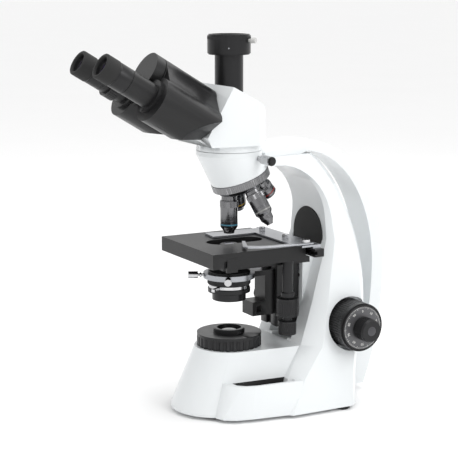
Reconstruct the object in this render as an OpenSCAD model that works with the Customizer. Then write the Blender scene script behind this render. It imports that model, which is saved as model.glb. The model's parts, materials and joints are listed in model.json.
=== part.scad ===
// Upright trinocular microscope, built as separate pieces.
// Millimetres, +Z up, the user sits on the -Y side.
// The origin is on the table, under the middle of the bounding box.

/* [Stand] */
// Height of the seat that carries the head
seat_z = 294; // [284:1:330]
// Height of the flat top of the base
base_top_z = 72.5; // [68:0.5:78]
// Half width of the stand across its legs, on the table
leg_half_w = 80; // [76:1:98]
// Height of the rubber feet
foot_h = 4; // [3:0.5:6]
// Radius of a rubber foot
foot_r = 9; // [7:0.5:11]
// Radius of the front of the base, at the table
nose_r = 53; // [48:1:60]
// Half width of the carrying bow
bow_half_w = 20; // [16:1:22]
// Wall of the castings
wall = 4; // [3:0.5:5]

/* [Focus] */
// Distance of the focus shaft behind the optical axis
focus_y = 125; // [123:0.5:128]
// Height of the focus shaft
focus_z = 94.5; // [90:0.5:98]
// Radius of the coarse knob
coarse_r = 27.5; // [22:0.5:29]
// Length of the coarse knob
coarse_len = 34; // [28:1:42]
// Radius of the fine knob
fine_r = 13; // [10:0.5:16]
// Length of the fine knob
fine_len = 18; // [12:1:22]
// Radius of the fine shaft, inside the hollow coarse shaft
core_r = 3; // [2.5:0.25:3.5]
// Radius of the coarse shaft
shaft_r = 7; // [6:0.25:8]

/* [Stage] */
// Stage width
stage_w = 125; // [104:1:150]
// Stage depth
stage_d = 116; // [108:1:128]
// Stage thickness with its skirt
stage_t = 16.5; // [15:0.5:18]
// Distance of the stage top below the head seat
stage_drop = 103; // [101:1:110]
// Radius of the larger stage drive knob
drive_r = 12.5; // [10:0.5:13]

/* [Optics] */
// Tilt of the turret from the optical axis
turret_tilt = 21; // [19:1:23]
// Radius of the knurled turret ring
turret_r = 33.5; // [32:0.5:35]
// Radius of the objective barrels
objective_r = 9.8; // [9:0.1:10.5]
// Radius of the field collector ring
field_r = 36.5; // [30:0.5:38]

/* [Head] */
// Slope of the eyepiece tubes above the table
tube_incline = 31; // [29:0.5:34]
// Distance between the eyepieces
eye_gap = 60; // [56:1:66]
// Outer radius of the eyepiece tubes
tube_r = 14; // [13:0.25:16]
// Radius of the camera tube
photo_r = 15.7; // [14:0.1:18]
// Radius of the clamp ring on the camera tube
photo_ring_r = 23.8; // [21:0.2:26]
// Height of the camera tube above the head seat
photo_h = 127; // [110:1:150]

/* [Hidden] */
$fn = 64;
run = 0.05;               // radial clearance of a shaft in its bore
gap = 0.4;                // air between pieces that pass each other
stage_z = seat_z - stage_drop;

// ---- Shared helpers ------------------------------------------------------
// Everything below is drawn with the optical axis at x = 0, y = 0
bow_y = 84;
bow_outer_y = 111.5;
eye_front_y = -173.2;
axis_y = -(bow_y + bow_outer_y + eye_front_y) / 2;
module at_axis() { translate([0, axis_y, 0]) children(); }
module both_sides() {
    children();
    mirror([1, 0, 0]) children();
}
module along_x(x, y, z) { translate([x, y, z]) rotate([0, 90, 0]) children(); }
module block(low, high) { translate(low) cube(high - low); }
module slab(z, t) { translate([0, 0, z]) linear_extrude(t) children(); }
module side_extrude(half_w) {
    rotate([90, 0, 90]) translate([0, 0, -half_w]) linear_extrude(2 * half_w) children();
}
module ring(z, h, r, bore) {
    translate([0, 0, z]) difference() {
        cylinder(h=h, r=r);
        translate([0, 0, -1]) cylinder(h=h + 2, r=bore);
    }
}
// Flutes cut along a round grip, to take away from it
module flutes(z, h, r, count, cut_r) {
    for (i = [0:count - 1]) rotate(i * 360 / count)
        translate([r + cut_r * 0.5, 0, z]) cylinder(h=h, r=cut_r, $fn=14);
}
// A skin over rings of points that all have the same count
module loft(rings) {
    count = len(rings[0]);
    levels = len(rings);
    sides = [for (i = [0:levels - 2]) for (j = [0:count - 1]) let (a = i * count, k = (j + 1) % count)
        each [[a + j, a + count + k, a + k], [a + j, a + count + j, a + count + k]]];
    low = [for (j = [0:count - 1]) j];
    high = [for (j = [count - 1:-1:0]) (levels - 1) * count + j];
    polyhedron(points=[for (r = rings) each r], faces=concat(sides, [low, high]));
}

// ---- Stand: arm ----------------------------------------------------------
arm_top_z = seat_z - 7;
arc_z = seat_z - 79;      // centre of the hollow front curve
arc_y = 42;
arc_r = 62;
// Half width, front and rear of the arm at a height
function arm_half_w(z) = z < 100
    ? lookup(z, [[foot_h, leg_half_w], [40, leg_half_w - 8], [73, leg_half_w - 15], [100, leg_half_w - 19.5]])
    : lookup(seat_z - z, [[6, 28], [24, 31], [44, 35.5], [69, 39], [99, 45], [119, 49], [134, 52],
        [171, 57], [seat_z - 100, leg_half_w - 19.5]]);
function arm_chamfer(z) = lookup(z, [[foot_h, 6], [40, 14], [73, 18], [123, 13], [166, 9], [200, 6], [240, 4]]);
function arm_front(z) = z > seat_z - 104
    ? arc_y + sqrt(max(0, arc_r * arc_r - pow(max(0, z - arc_z), 2)))
    : lookup(z, [[foot_h, 32], [40, 43], [73, 66.3], [100, 76], [123, 83.5], [150, 91], [170, 97.5],
        [seat_z - 104, arc_y + arc_r]]);
function arm_rear(z) = z > seat_z - 164
    ? 60 + 91 * sqrt(1 - pow((z - (seat_z - 164)) / 171, 2))
    : lookup(z, [[foot_h, 127], [40, 131], [67, 137], [90, 147], [seat_z - 164, 151]]);
function arm_ring(z, front) = let (w = arm_half_w(z), c = arm_chamfer(z), r = min(10, w / 3), back = arm_rear(z))
    [[w - c, front, z], [w, front + c, z], [w, back - r, z], [w - r, back, z],
     [r - w, back, z], [-w, back - r, z], [-w, front + c, z], [c - w, front, z]];
arm_levels = concat([foot_h, 22, 40, 56, 67, 73, 90, 106, 123, 140, 155, 170, seat_z - 104, seat_z - 90],
    [for (t = [0:9:81]) arc_z + arc_r * sin(t)]);
module arm_solid() {
    loft(concat([for (z = arm_levels) arm_ring(z, arm_front(z))],
        [arm_ring(arc_z + arc_r + 0.3, 30), arm_ring(arm_top_z, 30)]));
}
// A doorway outline: straight sides under a round head
module arch(half_w, low_z, top_z) {
    intersection() {
        union() {
            translate([-half_w, low_z]) square([2 * half_w, top_z - half_w - low_z]);
            translate([0, top_z - half_w]) circle(r=half_w);
        }
        translate([-half_w, low_z]) square([2 * half_w, top_z - low_z]);
    }
}
module upright(y, depth) { translate([0, y + depth, 0]) rotate([90, 0, 0]) linear_extrude(depth) children(); }

panel_y = 82;
panel_half_w = 24;
panel_low_z = base_top_z + 2.5;
panel_top_z = stage_z - 16;
arch_half_w = 31;
arch_low_z = stage_z - 14;
arch_top_z = stage_z + 31.5;
arch_y = arc_y + arc_r - 1;
cavity_half_w = 17;
cavity_rear = focus_y + 13;
cavity_low_z = 68;
cavity_top_z = stage_z - 23;
knob_in = 50;
bush_r = shaft_r + 4;
inlet_x = 39;
inlet_z = 26;
rocker_pin_r = 1.5;
dimmer_y = 92;
dimmer_z = 34;
module arm_casting() {
    color("white") at_axis() difference() {
        union() {
            arm_solid();
            block([-panel_half_w, panel_y + 2, panel_low_z], [panel_half_w, arch_y, panel_top_z]);
        }
        nose_solid();
        cylinder(h=seat_z + 10, r=36.6);
        block([-panel_half_w - 0.2, 0, panel_low_z - 0.2], [panel_half_w + 0.2, panel_y + 2, panel_top_z + 0.2]);
        block([-cavity_half_w, 60, cavity_low_z], [cavity_half_w, cavity_rear, cavity_top_z]);
        upright(60, arch_y + 2.5 - 60) arch(arch_half_w + 0.2, arch_low_z - 0.2, arch_top_z + 0.2);
        both_sides() along_x(knob_in - 2, focus_y, focus_z) cylinder(h=60, r=coarse_r + 3);
        along_x(-60, focus_y, focus_z) cylinder(h=120, r=bush_r);
        block([-36, 30, foot_h - 1], [36, 114, 58]);
        block([-50.2, 30, foot_h - 1], [50.2, 110.2, foot_h + 2]);
        block([-60, 68, foot_h + wall], [60, 118, 48]);
        both_sides() block([cavity_half_w + 3, 100, focus_z + bush_r + 6], [arm_half_w(165) - 8, 136, 165]);
        block([-26, 114, stage_z - 18], [26, 136, seat_z - 54]);
        block([inlet_x - 13.6, 100, inlet_z - 10], [inlet_x + 13.6, 140, inlet_z + 10]);
        block([-inlet_x - 7, 100, inlet_z - 10], [7 - inlet_x, 140, inlet_z + 10]);
        along_x(-90, dimmer_y, dimmer_z) cylinder(h=60, r=3 + run);
        along_x(-inlet_x - 8.2, arm_rear(inlet_z) - 3, inlet_z) cylinder(h=16.4, r=rocker_pin_r + run);
    }
}
// Outline of the carrying bow, in the YZ plane
bow_mid_z = seat_z - 144;
function bow_arc(ry, rz, from, to, steps) = [for (i = [0:steps]) let (t = from + (to - from) * i / steps)
    [bow_y + ry * cos(t), bow_mid_z + rz * sin(t)]];
grip_low_z = 80;
bow_inner_down = 193;
module bow_outline() {
    outer_end = -asin((bow_mid_z - foot_h - 4) / 225);
    inner_end = -asin((bow_mid_z - grip_low_z) / bow_inner_down);
    polygon(concat(
        [[30, seat_z - 2.5], [48, seat_z + 1], [66, seat_z + 6]],
        bow_arc(bow_outer_y, 152, 90, 3, 29),
        bow_arc(bow_outer_y, 225, 0, outer_end, 18),
        [for (z = [foot_h + 4, 22, 40, 56, 67, 73]) [arm_rear(z), z]],
        [[arm_rear(grip_low_z), grip_low_z - 1], [arm_rear(grip_low_z) + 4, grip_low_z - 5],
         [arm_rear(grip_low_z) + 14, grip_low_z - 6]],
        bow_arc(96, bow_inner_down, inner_end, -2, 12),
        bow_arc(96, 140, 0, 87, 29),
        [[bow_y - 4, arm_top_z], [30, arm_top_z]]));
}
module carry_bow() {
    color("white") at_axis() difference() {
        intersection() {
            side_extrude(28) bow_outline();
            slab(0, seat_z + 20) polygon([[-28, 20], [28, 20], [27, 50], [bow_half_w + 1, 88],
                [bow_half_w, 120], [bow_half_w, 220], [-bow_half_w, 220], [-bow_half_w, 120],
                [-bow_half_w - 1, 88], [-27, 50]]);
        }
        nose_solid();
        translate([0, 0, seat_z - 1]) cylinder(h=20, r=36.9);
    }
}
// Housing that carries the turret below and the head above
turret_face = 35.5;       // distance of the turret's seat from the point where its axis meets the optical axis
apex_z = seat_z + 4;
module turret_frame() { translate([0, 0, apex_z]) rotate([turret_tilt, 0, 0]) children(); }
module nose_solid() {
    hull() {
        translate([0, 0, seat_z - 5]) cylinder(h=5, r=36.5, $fn=32);
        turret_frame() translate([0, 0, -turret_face]) cylinder(h=6, r=turret_r - 0.5, $fn=32);
    }
}
dovetail_r = 22;
lock_y = 20;
lock_z = seat_z - 7.5;
module nose_housing() {
    color("white") at_axis() difference() {
        nose_solid();
        translate([0, 0, seat_z - 12]) cylinder(h=13, r=dovetail_r + gap);
        translate([0, 0, seat_z - 60]) cylinder(h=60, r=12);
        turret_frame() translate([0, 0, -turret_face - 1]) cylinder(h=6, r=29 + run);
        along_x(13, lock_y, lock_z) cylinder(h=40, r=3 + run);
    }
}
// ---- Stand: base ---------------------------------------------------------
flank_z = base_top_z - 32;  // top of the low wings beside the base
module base_solid() {
    hull() {
        translate([0, -15, foot_h]) cylinder(h=3, r=nose_r, $fn=40);
        translate([0, 0, base_top_z - 2]) cylinder(h=2, r=field_r + 3, $fn=40);
        block([-45.5, 60, base_top_z - 2], [45.5, 86, base_top_z]);
        block([-58, 60, foot_h], [58, 110, foot_h + 3]);
    }
    both_sides() hull() {
        slab(foot_h, 2) polygon([[30, -41], [48, -42], [58, -38], [66, -26], [70, -8], [leg_half_w - 2, 48], [30, 48]]);
        slab(flank_z - 2, 2) polygon([[30, -28], [42, -30], [53, -27], [63, -19], [69, -5], [leg_half_w - 6, 54], [30, 54]]);
    }
}
module scoop() {
    hull() {
        slab(flank_z, 1) polygon([[46, -21], [55, -20], [62, -12], [65.5, -1], [leg_half_w - 11, 47], [51, 47], [48, 0]]);
        slab(flank_z - 18, 1) polygon([[49, -14], [54, -14], [60, -6], [62, 2], [leg_half_w - 14, 44], [53, 44], [50, 0]]);
    }
}
module base_casting() {
    color("white") at_axis() difference() {
        base_solid();
        arm_solid();
        both_sides() scoop();
        hull() {
            translate([0, -15, foot_h - 1]) cylinder(h=2, r=nose_r - 10, $fn=24);
            translate([0, 0, base_top_z - wall - 1]) cylinder(h=1, r=field_r - 2, $fn=24);
            block([-36, 60, foot_h - 1], [36, 120, base_top_z - wall - 6]);
        }
        cylinder(h=base_top_z + 5, r=24);
        slab(foot_h - 1, 3) polygon(plate_outline(0.2));
    }
}
function plate_outline(grow) = [[-42 - grow, -44 - grow], [42 + grow, -44 - grow], [50 + grow, 30],
    [50 + grow, 110 + grow], [-50 - grow, 110 + grow], [-50 - grow, 30]];
plate_screws = [[-38, -2], [38, -2], [-44, 100], [44, 100]];
module base_plate() {
    color("dimgray") at_axis() difference() {
        slab(foot_h, 1.8) polygon(plate_outline(0));
        for (p = plate_screws) translate([p[0], p[1], 0]) cylinder(h=20, r=1.7);
        for (i = [0:6]) translate([-12, 20 + i * 6, 0]) cube([24, 2.5, 20]);
    }
}
foot_places = [[-34, -30], [34, -30], [-leg_half_w + foot_r + 1, 108], [leg_half_w - foot_r - 1, 108]];
module rubber_feet() {
    color("black") at_axis() for (p = foot_places) translate([p[0], p[1], 0])
        rotate_extrude() polygon([[0, 0], [foot_r - 1.2, 0], [foot_r, 1.2], [foot_r - 0.6, foot_h], [0, foot_h]]);
}
panel_screws = [for (x = [-16.4, 16.4]) for (z = [panel_low_z + 9, stage_z - 44]) [x, z]];
module cover_screws() {
    color("silver") at_axis() {
        for (p = plate_screws) translate([p[0], p[1], foot_h - 1.2]) difference() {
            union() {
                cylinder(h=1.2, r=2.8);
                cylinder(h=3, r=1.5);
            }
            translate([0, 0, -1]) cylinder(h=1.7, r=1.2, $fn=6);
        }
        for (p = panel_screws) translate([p[0], panel_y, p[1]]) rotate([90, 0, 0]) difference() {
            cylinder(h=0.9, r=2);
            translate([0, 0, 0.4]) cylinder(h=1, r=0.9, $fn=6);
        }
    }
}
module front_panel() {
    color("white") at_axis() difference() {
        block([-panel_half_w, panel_y, panel_low_z], [panel_half_w, panel_y + 2, panel_top_z]);
        block([-10.2 - gap, panel_y - 1, panel_low_z + 5], [10.2 + gap, panel_y + 3, stage_z - 24]);
    }
}
module arch_cover() {
    color("black") at_axis() upright(arch_y, 2.5) arch(arch_half_w, arch_low_z, arch_top_z);
}
module guide_rail() {
    color("gray") at_axis() both_sides()
        block([10.2 + gap, panel_y + 3, cavity_low_z + 6], [cavity_half_w, panel_y + 18, cavity_top_z - 2]);
}
module lamp_house() {
    color("dimgray") at_axis() difference() {
        union() {
            ring(foot_h + 2, base_top_z - foot_h - 2, 22, 20);
            ring(base_top_z - wall, wall, 23.9, 20);
            ring(base_top_z, 9, 19, 15);
        }
    }
}
module led_module() {
    color("lightgray") at_axis() {
        translate([0, 0, foot_h + 2]) difference() {
            cylinder(h=16, r=19.8);
            for (i = [-2:2]) translate([-21, i * 7 - 1.8, -1]) cube([42, 3.6, 11]);
        }
        translate([0, 0, foot_h + 18]) cylinder(h=1.6, r=12);
        translate([0, 0, foot_h + 19.6]) intersection() {
            sphere(r=4);
            cylinder(h=5, r=4);
        }
    }
}
module collector_lens() {
    color("lightblue") at_axis() translate([0, 0, foot_h + 38]) rotate_extrude()
        polygon(concat([[0, 0], [19.9, 0], [19.9, 2.5]], [for (a = [35:-5:0]) [34 * sin(a), 34 * cos(a) - 25]]));
}
module driver_board() {
    color("darkgreen") at_axis() translate([-28, 40, foot_h + 6]) {
        cube([56, 62, 1.6]);
        translate([4, 6, 1.6]) cube([20, 16, 14]);
        translate([30, 8, 1.6]) cube([16, 24, 18]);
        translate([14, 44, 1.6]) cylinder(h=20, r=7);
        translate([36, 46, 1.6]) cylinder(h=12, r=5);
        for (p = [[3, 3], [53, 3], [3, 59], [53, 59]]) translate([p[0], p[1], -4.2]) cylinder(h=4.2, r=2);
    }
}
module power_inlet() {
    color("black") at_axis() translate([inlet_x, 0, inlet_z]) difference() {
        union() {
            block([-13.4, 108, -9.8], [13.4, arm_rear(inlet_z), 9.8]);
            block([-13.4, arm_rear(inlet_z), -9.8], [13.4, arm_rear(inlet_z) + 1.5, 9.8]);
        }
        difference() {
            block([-11.4, 114, -7.8], [11.4, 150, 7.8]);
            for (x = [-7, 0, 7]) block([x - 1, 113, -2.4], [x + 1, arm_rear(inlet_z) - 2, 2.4]);
        }
    }
}
module power_rocker() {
    color("black") at_axis() translate([-inlet_x, arm_rear(inlet_z) - 3, inlet_z]) rotate([90, 0, 90])
        union() {
            translate([0, 0, -6]) linear_extrude(12)
                polygon([[-7, -5], [3, -8.4], [4.6, -8], [2.6, 0], [4.6, 8], [3, 8.4], [-7, 5]]);
            translate([0, 0, -8]) cylinder(h=16, r=rocker_pin_r);
        }
}
dimmer_x = arm_half_w(dimmer_z - 12) + 1;
module dimmer_knob() {
    color("black") at_axis() along_x(-dimmer_x, dimmer_y, dimmer_z) {
        cylinder(h=26, r=3);
        translate([0, 0, -9]) difference() {
            cylinder(h=9, r=11);
            flutes(-1, 8, 11, 24, 0.9);
        }
    }
}
// ---- Field collector -----------------------------------------------------
module field_ring() {
    color("dimgray") at_axis() difference() {
        union() {
            translate([0, 0, base_top_z + gap]) cylinder(h=14.4, r=field_r);
            translate([0, 0, base_top_z + 14]) cylinder(h=5.2, r=17.7);
        }
        translate([0, 0, base_top_z]) cylinder(h=9.5, r=19 + run);
        cylinder(h=base_top_z + 30, r=13.6);
        flutes(base_top_z, 11.5, field_r, 30, 2.4);
    }
}
module field_lens() {
    color("lightblue") at_axis() translate([0, 0, base_top_z + 13]) rotate_extrude()
        polygon(concat([[0, 0], [13.6, 0], [13.6, 2]], [for (a = [26:-4:2]) [30 * sin(a), 30 * cos(a) - 24.8]],
            [[0, 5.2]]));
}
// ---- Focus drive ---------------------------------------------------------
teeth = 14;
pitch_r = 7;
function tooth_points(n, r) = [for (i = [0:n - 1]) let (a = i * 360 / n)
    each [for (c = [[-7.5, -1.1], [-2.8, 0.8], [2.8, 0.8], [7.5, -1.1]])
        [(r + c[1]) * cos(a + c[0]), (r + c[1]) * sin(a + c[0])]]];
module coarse_shaft() {
    color("silver") at_axis() along_x(0, focus_y, focus_z) difference() {
        union() {
            translate([0, 0, -knob_in - 2]) cylinder(h=2 * knob_in + 4, r=5.4);
            for (s = [0, 1]) mirror([0, 0, s]) translate([0, 0, 15]) cylinder(h=knob_in - 13, r=shaft_r);
            translate([0, 0, -7]) rotate(90) linear_extrude(14) polygon(tooth_points(teeth, pitch_r));
        }
        translate([0, 0, -60]) cylinder(h=120, r=core_r + run);
    }
}
module shaft_bushes() {
    color("peru") at_axis() both_sides() along_x(30, focus_y, focus_z) ring(0, 16, bush_r, shaft_r + run);
}
knob_cap = 4;
module coarse_knob() {
    along_x(knob_in, focus_y, focus_z) difference() {
        union() {
            cylinder(h=coarse_len - 2, r=coarse_r);
            translate([0, 0, coarse_len - 2]) cylinder(h=2, r=coarse_r - 1.5);
        }
        translate([0, 0, -1]) cylinder(h=3, r=shaft_r);
        translate([0, 0, -1]) cylinder(h=coarse_len + 2, r=core_r + 1);
        translate([0, 0, coarse_len - 1.5]) cylinder(h=3, r=coarse_r - 3);
        flutes(5, coarse_len - 13, coarse_r, 60, 0.9);
    }
}
module coarse_knob_right() { color("black") at_axis() coarse_knob(); }
module coarse_knob_left() { color("black") at_axis() mirror([1, 0, 0]) coarse_knob(); }
module focus_dial() {
    color("gray") at_axis() along_x(knob_in + coarse_len - 1.5, focus_y, focus_z) ring(0, 1.3, coarse_r - 3, fine_r - 2);
}
fine_in = knob_in + coarse_len + gap;
module fine_shaft() {
    color("silver") at_axis() along_x(-fine_in - 6, focus_y, focus_z) cylinder(h=2 * fine_in + 12, r=core_r);
}
module fine_knob() {
    along_x(fine_in, focus_y, focus_z) difference() {
        union() {
            cylinder(h=fine_len - 1.5, r=fine_r);
            translate([0, 0, fine_len - 1.5]) cylinder(h=1.5, r=fine_r - 1);
        }
        translate([0, 0, -1]) cylinder(h=7, r=core_r);
    }
}
module fine_knob_right() { color("dimgray") at_axis() fine_knob(); }
module fine_knob_left() { color("dimgray") at_axis() mirror([1, 0, 0]) fine_knob(); }
// ---- Stage lift ----------------------------------------------------------
neck_half_w = 10.2;
carriage_half_w = 18;
carriage_low_z = stage_z - 101;
carriage_y = 52;
carriage_rear = panel_y - 1.5;
rack_y = focus_y - pitch_r;
lens_gear_r = 5;          // pitch radius of the condenser pinion
lens_gear_z = stage_z - 71;
lens_gear_y = carriage_y + 6.5;
lens_rack_y = lens_gear_y - lens_gear_r;
plate_low_z = stage_z - 24;
skirt_z = stage_z - stage_t;
// Rack teeth as an outline: x along the rack, y away from it
module rack_outline(count) {
    pitch = 360 / teeth * pitch_r * PI / 180;
    for (i = [0:count - 1]) translate([(i + 0.5) * pitch, 0])
        polygon([[-0.86, -1.1], [-0.4, 0.8], [0.4, 0.8], [0.86, -1.1]]);
}
module stage_carriage() {
    color("dimgray") at_axis() difference() {
        union() {
            block([-carriage_half_w, carriage_y, carriage_low_z], [carriage_half_w, carriage_rear, plate_low_z]);
            block([-neck_half_w, carriage_rear - 1, carriage_low_z + 8], [neck_half_w, panel_y + 24, plate_low_z - 6]);
            block([-neck_half_w, panel_y + 20, focus_z - 9], [neck_half_w, rack_y - 5, plate_low_z - 6]);
        }
        block([-5, carriage_y - 1, carriage_low_z - 1], [5, lens_rack_y + 1.4, plate_low_z - 4]);
        along_x(-5.4, lens_gear_y, lens_gear_z) cylinder(h=10.8, r=lens_gear_r + 1.4);
        along_x(-30, lens_gear_y, lens_gear_z) cylinder(h=44, r=3 + run);
    }
}
module focus_rack() {
    color("silver") at_axis() {
        block([-6, rack_y - 5, focus_z - 9], [6, rack_y - 1.1, focus_z + 31]);
        rotate([90, 0, 90]) translate([rack_y, focus_z, -6]) linear_extrude(12)
            rotate(90) mirror([0, 1]) translate([-PI * 3, 0]) rack_outline(12);
    }
}
module stage_base() {
    color("dimgray") at_axis() difference() {
        union() {
            block([-42, -30, plate_low_z], [42, carriage_rear, skirt_z - 1]);
            block([-35, -27, skirt_z - 1.5], [35, 40, stage_z - 6 - gap]);
        }
        cylinder(h=stage_z + 10, r=32);
    }
}
stage_half_w = stage_w / 2;
stage_front = 4.6 - stage_d / 2;
stage_rear = 4.6 + stage_d / 2;
slot_half_w = 14;
drive_x = stage_half_w - 12.5;
drive_y = 47;
tongue_z = stage_z - 8;
module stage_top() {
    color("black") at_axis() difference() {
        union() {
            block([-stage_half_w, stage_front, skirt_z], [stage_half_w, stage_rear, stage_z]);
            block([stage_half_w - 3, stage_front + 17, skirt_z - 5], [stage_half_w + 0.6, stage_front + 30, skirt_z + 10]);
            block([-28, stage_rear - 1, tongue_z], [28, stage_rear + 4.4, tongue_z + 3]);
        }
        difference() {
            block([wall - stage_half_w, stage_front + wall, skirt_z - 1],
                [stage_half_w - wall, stage_rear - wall, stage_z - 6]);
            both_sides() block([35 + gap, stage_front, skirt_z + 1], [41, stage_rear, stage_z - 5]);
            translate([drive_x, drive_y, skirt_z - 1]) cylinder(h=30, r=8);
        }
        hull() for (y = [-13, 27]) translate([0, y, stage_z - 10]) cylinder(h=20, r=slot_half_w);
        block([stage_half_w - 2, stage_front + 13, skirt_z - 1], [stage_half_w + 1, stage_front + 17, skirt_z + 8]);
        translate([drive_x, drive_y, skirt_z - 6]) cylinder(h=12, r=4 + run);
        for (y = [-1, 1]) translate([0, 4.6 + y * (stage_d / 2 + 3), skirt_z - 2]) rotate([45, 0, 0])
            cube([stage_w + 10, 8, 8], center=true);
    }
}
module drive_post() {
    color("silver") at_axis() translate([drive_x, drive_y, 0]) {
        ring(skirt_z - 37, 37, 6, 4 + run);
        ring(skirt_z - 43, 6, 7.5, 4 + run);
    }
}
y_knob_z = stage_z - 80;
module y_knob() {
    color("dimgray") at_axis() translate([drive_x, drive_y, 0]) difference() {
        union() {
            translate([0, 0, y_knob_z]) cylinder(h=20, r=drive_r);
            translate([0, 0, y_knob_z + 18]) cylinder(h=skirt_z - y_knob_z - 14, r=4);
        }
        translate([0, 0, y_knob_z - 1]) cylinder(h=100, r=2 + run);
        flutes(y_knob_z + 2.5, 15, drive_r, 30, 0.9);
    }
}
module x_knob() {
    color("dimgray") at_axis() translate([drive_x, drive_y, 0]) difference() {
        union() {
            translate([0, 0, y_knob_z - 21]) cylinder(h=15, r=drive_r - 2.5);
            translate([0, 0, y_knob_z - 7]) cylinder(h=6.5, r=5);
            translate([0, 0, y_knob_z - 7]) cylinder(h=skirt_z - y_knob_z + 10, r=2);
        }
        flutes(y_knob_z - 19, 11, drive_r - 2.5, 26, 0.9);
    }
}
// ---- Slide holder --------------------------------------------------------
rail_y = stage_rear + 1.4;
holder_z = stage_z + gap;
finger_x = 67;
finger_y = 59;
module x_rail() {
    color("gray") at_axis() difference() {
        block([-55, rail_y, stage_z - 11], [79, rail_y + 12, stage_z - 2]);
        block([-80, rail_y - 1, tongue_z - gap], [100, rail_y + 3.4, tongue_z + 3 + gap]);
    }
}
module slide_holder() {
    color("black") at_axis() difference() {
        union() {
            block([-50, rail_y, stage_z - 2], [75, rail_y + 10, holder_z + 2]);
            slab(holder_z, 2) polygon([[-45, rail_y + 4], [-46, 30], [-43, 15], [-47, -6], [-21, -9],
                [-19.5, 20], [-22, 46], [56, 46], [60, 50], [75, 50], [75, rail_y + 4]]);
        }
        translate([finger_x, finger_y, stage_z]) cylinder(h=10, r=2);
        for (x = [-24, 28]) translate([x, 56.5, stage_z - 4]) cylinder(h=10, r=1.5);
    }
}
module holder_screws() {
    color("silver") at_axis() {
        for (x = [-24, 28]) translate([x, 56.5, 0]) {
            translate([0, 0, holder_z]) cylinder(h=3, r=1.5);
            translate([0, 0, holder_z + 2]) cylinder(h=5.5, r=3.3);
        }
        translate([finger_x, finger_y, 0]) {
            translate([0, 0, holder_z]) cylinder(h=5, r=2);
            translate([0, 0, holder_z + 4.4]) cylinder(h=3, r=5);
        }
    }
}
module spring_finger() {
    color("silver") at_axis() difference() {
        slab(holder_z + 2.3, 1.8) polygon(concat(
            [[finger_x + 6, finger_y + 7], [finger_x - 5, finger_y + 3], [finger_x - 3, 36], [64, 18], [60, 4], [53, -6],
             [28, 5], [26, 2], [55, -13]],
            [[61, -10], [67, 2], [70, 16], [71.5, 36], [finger_x + 6, finger_y - 4]]));
        translate([finger_x, finger_y, stage_z]) cylinder(h=10, r=2 + run);
    }
}
// ---- Condenser -----------------------------------------------------------
fork_z = stage_z - 41;
barrel_r = 24;
lens_r = 9.5;
swing_x = -18;
swing_y = 10.5;
module condenser_slide() {
    color("silver") at_axis() difference() {
        union() {
            block([-12, carriage_y - 12, stage_z - 87], [12, carriage_y - gap, fork_z + 6]);
            block([-12, 24, stage_z - 87], [12, carriage_y - 11, stage_z - 71]);
            block([-12, 20, fork_z], [12, carriage_y - gap, fork_z + 6]);
            translate([0, 0, fork_z]) cylinder(h=6, r=29);
            block([-4, carriage_y - 2, stage_z - 87], [4, lens_rack_y - 1.1, fork_z + 6]);
            rotate([90, 0, 90]) translate([lens_rack_y, lens_gear_z, -4]) linear_extrude(8)
                rotate(90) mirror([0, 1]) translate([-PI * 5, 0]) rack_outline(13);
        }
        cylinder(h=stage_z, r=barrel_r);
        block([-13, 29, stage_z - 83], [13, 35, stage_z - 75]);
        for (a = screw_angles) rotate(a) along_x(barrel_r - 1, 0, fork_z + 3) cylinder(h=20, r=1.6);
    }
}
module condenser_barrel() {
    color("black") at_axis() difference() {
        union() {
            rotate_extrude() polygon([[6, fork_z - 16], [barrel_r, fork_z - 16], [barrel_r, fork_z - 11], [17, fork_z - 11],
                [17, fork_z - 7], [barrel_r, fork_z - 7], [barrel_r, fork_z + 8], [22, fork_z + 10], [16, fork_z + 20],
                [14, fork_z + 30], [lens_r + 1, fork_z + 34], [lens_r + 1, stage_z - 3], [lens_r, stage_z - 2.4],
                [6, stage_z - 2.4]]);
            translate([swing_x, swing_y, fork_z - 26]) cylinder(h=11, r=2.5);
        }
    }
}
module condenser_lens() {
    color("lightblue") at_axis() {
        translate([0, 0, stage_z - 10]) cylinder(h=7.6, r=6);
        translate([0, 0, fork_z - 12]) cylinder(h=8, r=6);
    }
}
module iris_lever() {
    color("silver") at_axis() {
        ring(fork_z - 11 + gap, 4 - 2 * gap, barrel_r - 1, 17 + run);
        rotate(-58) block([barrel_r - 2, -2, fork_z - 11 + gap], [barrel_r + 12, 2, fork_z - 7 - gap]);
    }
}
module filter_tray() {
    color("black") at_axis() difference() {
        union() {
            translate([0, 0, fork_z - 25]) cylinder(h=8.4, r=19);
            translate([swing_x, swing_y, fork_z - 25]) cylinder(h=8.4, r=5);
        }
        translate([0, 0, fork_z - 26]) cylinder(h=12, r=15);
        translate([0, 0, fork_z - 22]) cylinder(h=12, r=17);
        translate([swing_x, swing_y, 0]) cylinder(h=stage_z, r=2.5 + run);
    }
}
screw_angles = [-30, -115];
module centring_screws() {
    color("silver") at_axis() for (a = screw_angles) rotate(a) along_x(barrel_r, 0, fork_z + 3) {
        cylinder(h=12, r=1.6);
        translate([0, 0, 7]) cylinder(h=2, r=2.6);
        translate([0, 0, 11]) cylinder(h=11, r=4);
    }
}
module condenser_knob() {
    color("dimgray") at_axis() along_x(0, lens_gear_y, lens_gear_z) difference() {
        union() {
            translate([0, 0, -carriage_half_w - 2]) cylinder(h=carriage_half_w + 14, r=3);
            translate([0, 0, -5]) rotate(90) linear_extrude(10) polygon(tooth_points(10, lens_gear_r));
            translate([0, 0, -carriage_half_w - 13]) cylinder(h=12.5, r=9);
        }
        flutes(-carriage_half_w - 11, 9, 9, 24, 0.8);
    }
}
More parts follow.
